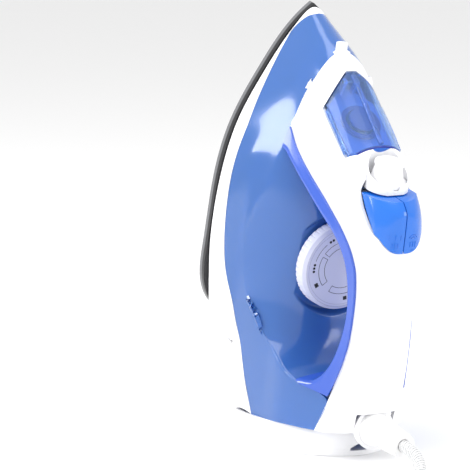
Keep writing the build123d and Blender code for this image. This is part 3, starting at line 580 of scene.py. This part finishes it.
# ---- liner of the handle --------------------------------------------------------------------------
# Glossy blue moulding under the grip, snapped into the white cover. It lines the finger opening above the
# tank and shows as a narrow band along the cover's edge.
LINER_OUT = [(211, 46.2), (201, 57), (190, 73), (177, 93), (168, 106), (160, 115), (152, 121),
             (144, 124.8), (128, 127.2), (107, 127.6),
             (91, 125.8), (77, 122.6), (66, 119.3)]
LINER_IN = [(200, 47), (193, 58), (183, 73), (173, 88), (165, 101), (157, 110), (146, 117), (130, 121.3),
            (114, 122.8), (96, 121),
            (80, 116), (70, 108), (67.5, 98)]
LINER_MIDDLE = [(187, 65), (184, 71), (178, 82), (170, 94), (162, 105), (154, 112.5), (144, 117.6),
                (128, 120.8), (113, 121.8),
                (96, 119.6), (82, 114.5), (74, 107), (71, 98)]
low, high = paired(LINER_OUT, LINER_IN, 240)
liner_side = ribbon(low, high, 16)
liner_top = dished(liner_side[-1], through(LINER_MIDDLE, 240), 2.0, 40)
liner_near = rolled(np.concatenate([liner_side, liner_top[1:]]), 15, 5, 8, 8)
liner = moulding("handle_liner_band", both_sides([liner_near]), 1.8)
soft_edges(liner, 50)
LINER_BLUE = moulded("liner_blue", srgb(52, 92, 196), 0.16, 0.015, coat=0.5)
liner.data.materials.append(LINER_BLUE)
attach(liner, "iron")
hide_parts("handle_liner")

# ---- handle cover ---------------------------------------------------------------------------------
# One long white moulding from the spray nozzle over the grip to the heel, screwed down from below. It is
# cut out for the lid, the steam regulator, the two buttons, the nozzle and the cord's ball.
COVER_EDGE = [(257.5, 47), (245, 49.5), (231, 47), (219, 46), (211, 46), (201, 57), (190, 73), (177, 93),
              (168, 106), (160, 115),
              (152, 121), (144, 124.8), (128, 127.2), (107, 127.6), (91, 125.8), (77, 122.6),
              (61, 119), heel_end(113.8)]
COVER_RIDGE = [(0, 2.0), (0, 2.3), (0, 2.6), (0, 3.0), (0, 3.4), (0, 4.0), (0, 4.6), (0, 5.4), (0, 6.2),
               (0, 7.2), (0, 8), (2.4, 8),
               (4.6, 8), (5.7, 8), (6.3, 8), (6.9, 8), (7.2, 8), (7.49, 8)]
LID_TILT = np.radians(32.9)
LID_NORMAL = np.cos(LID_TILT) * ALONG + np.sin(LID_TILT) * RISE
LID_UP = -np.sin(LID_TILT) * ALONG + np.cos(LID_TILT) * RISE
LID_ORIGIN = HEEL + 232.5 * ALONG + 83.0 * RISE
NEAR = np.array([0, -1.0, 0])
LID_OUTLINE = [(-3, -27.5), (3, -27.5), (20, -11), (20, 23.4), (14, 27.3), (-14, 27.3), (-20, 23.4),
               (-20, -11)]
LID_HOLE = [(-3.4, -28.4), (3.4, -28.4), (20.9, -11.4), (20.9, 23.9), (14.3, 28.2), (-14.3, 28.2),
            (-20.9, 23.9), (-20.9, -11.4)]
KNOB_TILT = np.radians(5.0)
KNOB_AXIS = np.cos(KNOB_TILT) * ALONG + np.sin(KNOB_TILT) * RISE
KNOB_BASE = HEEL + 197.0 * ALONG + 114.5 * RISE
BUTTON_NOTCH = [(193, 114), (185, 120), (175, 130.5), (171, 136.5), (166, 140), (159.5, 143.5),
                (159.5, 150), (205, 150), (205, 114)]
FULL_TURN = np.linspace(0, 2 * np.pi, 64, endpoint=False)
CIRCLE = np.stack([np.cos(FULL_TURN), np.sin(FULL_TURN)], 1)

cover_low, cover_high = paired(COVER_EDGE, COVER_RIDGE, 330, high_is_station=True)
ease = np.sin(np.linspace(0, np.pi / 2, 56))
cover_low[0, 0] = 0.0
cover_high = np.clip(cover_high, 0, [HEEL_END, RIDGE])
cover = moulding("handle_cover_shell", both_sides([ribbon(cover_low, cover_high, 56, ease)]), 2.2)
ball = np.array(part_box("swivel_ball")).mean(0) * 1000
knob_side = np.cross(NEAR, KNOB_AXIS)
cut(cover, [prism(LID_HOLE, LID_ORIGIN, NEAR, LID_UP, -14, 14),
            prism(CIRCLE * 13.5, KNOB_BASE, knob_side, NEAR, 0, 30),
            side_prism(BUTTON_NOTCH, 60),
            prism(CIRCLE * 5.9, HEEL + 243 * ALONG + 46 * RISE, NEAR, -RISE, 0, 22),
            prism(CIRCLE * 13.1, ball + (0, 0, -14), (1, 0, 0), (0, 1, 0), 0, 24)])
soft_edges(cover, 35)
cover.data.materials.append(WHITE)
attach(cover, "iron")
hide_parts("handle_cover")

# ---- spray and steam buttons ----------------------------------------------------------------------
# Two glossy blue rockers side by side on the front of the grip, pivoting on one pin. Each has its sign raised
# on top: strokes for the spray, an arc over strokes for the burst of steam.
BUTTON_PROFILE = [(192.6, 114.8), (192.6, 150), (160.4, 150), (160.4, 143.8), (166.3, 140.6),
                  (171.4, 137.0), (175.5, 131.0),
                  (185.2, 120.5)]
BUTTON_BLUE = moulded("button_blue", srgb(26, 108, 210), 0.2, 0.015, coat=0.4)
body_u, body_v = np.meshgrid(np.linspace(-6.2, 6.2, 221), np.linspace(4.2, RIDGE, 46))


def button_block():
    """Solid of the outside's upper front, from which a button is sawn."""
    block = moulding("block", [outside(body_u, body_v)], 0)
    close_ends(block, triangles=True)
    return block


top_samples = outside(body_u, body_v)


def height_over(samples, target):
    """Height of a sampled surface at places (x, y): its four nearest samples weighted by 1 / distance**2."""
    gap = ((samples[None, :, :2] - target[:, None]) ** 2).sum(-1)
    order = np.argsort(gap, 1)[:, :4]
    weight = 1 / (np.take_along_axis(gap, order, 1) + 1e-3)
    return (samples[order, 2] * weight).sum(1) / weight.sum(1)


def on_top(points, lift=0.1):
    """Points (l, w) dropped on the outside of the grip's top, lifted a little off it."""
    target = np.asarray(points, float)
    height = height_over(top_samples[15:].reshape(-1, 3), target)
    return np.column_stack([target, height + lift])


SIGN_MIDDLE, SIGN_FOOT, STROKE_R = 6, 164.6, 0.00032
SPRAY_SIGN = [[(174.5 - k, w + 0.25 * (w - SIGN_MIDDLE)) for k in range(4)] for w in (3.2, 6, 8.8)]
SPRAY_SIGN += [[(169.5 - k, w) for k in range(4)] for w in (4.2, 6, 7.8)]
SPRAY_SIGN += [[(SIGN_FOOT, w) for w in (4.2, 5.4, 6.6, 7.8)]]
arc = np.linspace(-1.1, 1.1, 9)
STEAM_SIGN = [[(171 + r * np.cos(a), SIGN_MIDDLE + r * np.sin(a)) for a in arc] for r in (3.2, 1.7)]
STEAM_SIGN += [[(169.8 - k, w) for k in range(4)] for w in (4.2, 6, 7.8)]
STEAM_SIGN += [[(SIGN_FOOT, w) for w in (5, 6, 7)]]
for name, sign, marks in (("spray", 1, SPRAY_SIGN), ("burst", -1, STEAM_SIGN)):
    button = button_block()
    button.name = f"{name}_key"
    half = [(l, sign * w) for l, w in ((0, 0.3), (300, 0.3), (300, 16.0), (0, 16.0))]
    cut(button, [side_prism(BUTTON_PROFILE, 60), prism(half, HEEL, ALONG, NEAR, -200, 200)], "INTERSECT")
    soft_edges(button, 40, bevel=0.7, segments=3)
    button.data.materials.append(BUTTON_BLUE)
    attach(button, f"{name}_rocker")
    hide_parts(f"{name}_button")
    for number, mark in enumerate(marks):
        line = on_top([(l, sign * w) for l, w in mark])
        stroke = grid_object(f"{name}_sign_{number}", tube_points(stood(line), STROKE_R, 9)[0])
        stroke.data.materials.append(BUTTON_BLUE)
        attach(stroke, f"{name}_rocker")

# ---- filler lid -----------------------------------------------------------------------------------
# Clear pale-blue lid over the inlet, hinged at its nose end. Two beads run down its sides and a rib along its
# middle, where a finger lifts it.
def lid_plastic():
    """Thin clear plastic with a pale blue tint, glossy, with a faint ripple from the mould."""
    material, shader, node, to = new_material("lid_clear_blue")
    place = node("TexCoord").outputs["Object"]
    ripple = node("TexNoise", Vector=place, Scale=50.0, Detail=1.0).outputs[0]
    to("Normal", node("Bump", Height=ripple, Strength=0.1, Distance=0.0004).outputs[0])
    gloss = node("MapRange", Value=ripple)
    gloss.inputs["To Min"].default_value, gloss.inputs["To Max"].default_value = 0.05, 0.10
    to("Roughness", gloss.outputs[0])
    shader.inputs["Base Color"].default_value = srgb(165, 200, 252)
    shader.inputs["Transmission Weight"].default_value = 0.85
    shader.inputs["IOR"].default_value = 1.25
    return material


LID_CLEAR = lid_plastic()
lid_u, lid_v = np.meshgrid(np.linspace(-3.2, 3.2, 121), np.linspace(1.8, 6.4, 91))
lid = moulding("lid_window", [outside(lid_u, lid_v)], 1.6)
cut(lid, [prism(LID_OUTLINE, LID_ORIGIN, NEAR, LID_UP, -11, 13)], "INTERSECT")
soft_edges(lid, 40, bevel=0.35)
lid.data.materials.append(LID_CLEAR)
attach(lid, "lid")
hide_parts("filler_lid")

lid_grid = outside(lid_u, lid_v).reshape(-1, 3)
lid_stand = stood(lid_grid) * 1000 - LID_ORIGIN
lid_plane = np.column_stack([lid_stand @ NEAR, lid_stand @ LID_UP, lid_stand @ LID_NORMAL])


def on_lid(points, lift):
    """Standing places of points (across, up) of the lid's plane, dropped on its outside and lifted off it."""
    target = np.asarray(points, float)
    high = height_over(lid_plane, target) + lift
    return (LID_ORIGIN + target[:, :1] * NEAR + target[:, 1:] * LID_UP + high[:, None] * LID_NORMAL) / 1000


def capped_tube(name, line, radius, around=12):
    """Round bead along a line, its two ends closed."""
    bead = grid_object(name, tube_points(line, radius, around)[0])
    close_ends(bead, merge=1e-7)
    return bead


BEADS = {"lid_bead_near": [(18.6, -9.5), (18.6, 0), (18.6, 12), (18.6, 22.5)],
         "lid_bead_far": [(-18.6, -9.5), (-18.6, 0), (-18.6, 12), (-18.6, 22.5)],
         "lid_rib": [(0, -25), (0, -12), (0, 2), (0, 14), (0, 25.5)]}
for name, points in BEADS.items():
    bead = capped_tube(name, on_lid(through(points, 60), 0.1), 0.0016 if name == "lid_rib" else 0.0008)
    bead.data.materials.append(LID_CLEAR)
    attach(bead, "lid")
EDGE_BLUE = moulded("lid_edge_blue", srgb(34, 48, 150), 0.2)
rear_line = through([(-14, 26.9), (0, 27.0), (14, 26.9)], 40)
rear_edge = capped_tube("lid_rear_edge", on_lid(rear_line, -0.9), 0.0007)
rear_edge.data.materials.append(EDGE_BLUE)
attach(rear_edge, "lid")

# ---- print on the temperature dial ----------------------------------------------------------------
# Black pad print on the dial's face: framed arcs, groups of one to three dots, two end marks and fine rings.
# It turns with the dial.
INK = moulded("dial_ink", srgb(24, 24, 28), 0.5)
FAINT = moulded("dial_ring_grey", srgb(176, 178, 196), 0.4)
DIAL_SEAT, DIAL_GAP, DIAL_THICK, PRINT_LIFT = 66.5, 1.5, 9.6, 0.04
DIAL_TOP = HEEL + DIAL_L * ALONG + (DIAL_SEAT + DIAL_GAP + DIAL_THICK + PRINT_LIFT) * RISE
FRAME_INNER, FRAME_OUTER, LINE_WIDE = 12.9, 17.1, 0.3
DOT_R, DOT_ORBIT = 0.85, 20.3


def dial_sector(name, inner, outer, start, end, material):
    """Flat piece of a ring on the dial's face, angles in degrees from the nose towards the near side."""
    angle = np.radians(np.linspace(start, end, max(4, int(abs(end - start) / 3))))
    radius = np.array([inner, outer])
    outward = np.cos(angle)[None, :, None] * ALONG + np.sin(angle)[None, :, None] * NEAR
    points = (DIAL_TOP + radius[:, None, None] * outward) / 1000
    sector = moulding(name, [points], 0.05, stand=False)
    sector.data.materials.append(material)
    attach(sector, "dial")


for number, (start, end) in enumerate(((62, 128), (8, 54), (-46, 0), (-110, -54), (150, 205))):
    for ring, (inner, outer) in enumerate(((FRAME_INNER, FRAME_INNER + LINE_WIDE),
                                             (FRAME_OUTER - LINE_WIDE, FRAME_OUTER))):
        dial_sector(f"dial_frame_{number}_{ring}", inner, outer, start, end, INK)
    for side, angle in enumerate((start, end)):
        dial_sector(f"dial_frame_end_{number}_{side}", FRAME_INNER, FRAME_OUTER, angle - 0.5, angle + 0.5,
                    INK)
DOTS = [81, 87, 93, 26, 32, -22]
for number, angle in enumerate(DOTS):
    centre = DIAL_TOP + DOT_ORBIT * (np.cos(np.radians(angle)) * ALONG + np.sin(np.radians(angle)) * NEAR)
    ring = np.array([0.01, DOT_R])[:, None, None]
    disc = centre + ring * (CIRCLE[None, ::4, :1] * ALONG + CIRCLE[None, ::4, 1:] * NEAR)
    dot = grid_object(f"dial_dot_{number}", disc / 1000, close_columns=True)
    dot.data.materials.append(INK)
    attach(dot, "dial")
for number, (start, end) in enumerate(((40, 74), (-14, 20))):
    dial_sector(f"dial_line_{number}", 20.2, 20.45, start, end, INK)
for number, (start, end) in enumerate(((116, 124), (186, 193))):
    dial_sector(f"dial_end_mark_{number}", 19.0, 21.4, start, end, INK)
for number, radius in enumerate((23.6, 25.2)):
    dial_sector(f"dial_ring_{number}", radius, radius + 0.22, 0, 360, FAINT)

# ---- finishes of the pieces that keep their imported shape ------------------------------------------
# Small and inner pieces that keep the shape they were packed with. Each takes the finish of its material.
DIAL_WHITE = moulded("dial_white", srgb(216, 218, 236), 0.3, 0.02)
GUARD_WHITE = moulded("guard_white", srgb(240, 240, 240), 0.42, 0.05)
FUNNEL_BLUE = moulded("funnel_blue", srgb(120, 170, 240), 0.25, 0.02)
PUMP_WHITE = moulded("pump_white", srgb(214, 214, 216), 0.45, 0.04)
FLOOR_GREY = moulded("tank_floor_grey", srgb(120, 158, 222), 0.4, 0.04)
SILICONE = moulded("tube_silicone", srgb(222, 224, 226), 0.5, 0.04)
SEAL_BLUE = moulded("seal_rubber", srgb(24, 74, 160), 0.6, 0.06)
PLUG_WHITE = moulded("plug_white", srgb(232, 232, 232), 0.45, 0.05)


def metal(name, colour, roughness, scratch):
    """Bare metal with fine drawn scratches and patchy gloss."""
    material, shader, node, to = new_material(name)
    place = node("TexCoord").outputs["Object"]
    stretched = node("Mapping", i0=place)
    stretched.inputs["Scale"].default_value = (1.0, 1.0, 14.0)
    lines = node("TexNoise", Vector=stretched.outputs[0], Scale=400.0, Detail=4.0).outputs[0]
    to("Normal", node("Bump", Height=lines, Strength=scratch, Distance=0.00005).outputs[0])
    gloss = node("MapRange", Value=lines)
    gloss.inputs["To Min"].default_value = roughness * 0.8
    gloss.inputs["To Max"].default_value = roughness * 1.3
    to("Roughness", gloss.outputs[0])
    shader.inputs["Base Color"].default_value = colour
    shader.inputs["Metallic"].default_value = 1.0
    return material


STEEL = metal("element_steel", srgb(176, 172, 166), 0.35, 0.3)
SCREW_STEEL = metal("screw_steel", srgb(200, 200, 200), 0.3, 0.2)
ALUMINIUM = metal("chamber_aluminium", srgb(208, 208, 210), 0.4, 0.3)
BRASS = metal("valve_brass", srgb(206, 172, 96), 0.3, 0.2)
NICKEL = metal("pin_nickel", srgb(206, 204, 198), 0.18, 0.15)


SOLE_THICK = 0.0075


def sole_coating():
    """Soleplate: speckled dark ceramic on the face and edge, with a machined grey band round the edge."""
    material, shader, node, to = new_material("sole_coating")
    place = node("TexCoord").outputs["Object"]
    away = node("VectorMath", {"operation": "SUBTRACT"}, i0=place)
    away.inputs[1].default_value = Vector(HEEL / 1000)
    height = node("VectorMath", {"operation": "DOT_PRODUCT"}, i0=away.outputs[0])
    height.inputs[1].default_value = Vector(RISE)
    band = node("MapRange", Value=height.outputs["Value"])
    band.inputs["From Max"].default_value = SOLE_THICK
    ramp = node("ValToRGB", Fac=band.outputs[0])
    face, top = ramp.color_ramp.elements
    face.color, face.position = srgb(66, 66, 70), 0.0
    top.color, top.position = srgb(28, 28, 32), 0.66
    for position, colour in ((0.2, srgb(128, 129, 132)), (0.58, srgb(120, 121, 125))):
        ramp.color_ramp.elements.new(position).color = colour
    speck = node("TexNoise", Vector=place, Scale=1500.0, Detail=2.0).outputs[0]
    mix = node("Mix", {"data_type": "RGBA", "blend_type": "MULTIPLY"})
    mix.inputs["Factor"].default_value = 0.35
    tree = material.node_tree
    tree.links.new(ramp.outputs[0], mix.inputs[6])
    tree.links.new(speck, mix.inputs[7])
    to("Base Color", mix.outputs[2])
    to("Normal", node("Bump", Height=speck, Strength=0.15, Distance=0.00003).outputs[0])
    gloss = node("MapRange", Value=speck)
    gloss.inputs["To Min"].default_value, gloss.inputs["To Max"].default_value = 0.25, 0.45
    to("Roughness", gloss.outputs[0])
    return material


FINISHES = {
    WHITE: ["heel_foot", "knob_housing", "steam_knob", "spray_nozzle", "swivel_seat", "dial_shaft"],
    DIAL_WHITE: ["temperature_dial"],
    GUARD_WHITE: ["swivel_ball", "cord_guard"],
    FUNNEL_BLUE: ["inlet_funnel"],
    PUMP_WHITE: ["spray_pump_body", "burst_pump_body", "spray_piston", "burst_piston", "pin_brackets",
                 "terminal_block", "cord_clamp"],
    FLOOR_GREY: ["tank_floor", "dial_sleeve"],
    SILICONE: ["spray_suction_tube", "burst_suction_tube", "spray_tube", "burst_tube"],
    SEAL_BLUE: ["lid_plug", "inlet_seal"],
    PLUG_WHITE: ["plug"],
    NICKEL: ["plug_pins"],
    STEEL: ["heating_element", "valve_rod", "button_pin", "lid_pin", "thermostat"],
    SCREW_STEEL: ["chamber_screws", "heel_screws", "spray_spring", "burst_spring"],
    ALUMINIUM: ["steam_chamber_cover", "thermal_fuse"],
    BRASS: ["drip_valve"],
    sole_coating(): ["soleplate"]}
for finish, names in FINISHES.items():
    for name in names:
        node_object = frame["nodes"][name]
        node_object.data.materials.clear()
        node_object.data.materials.append(finish)
        node_object.data.set_sharp_from_angle(angle=np.radians(32))
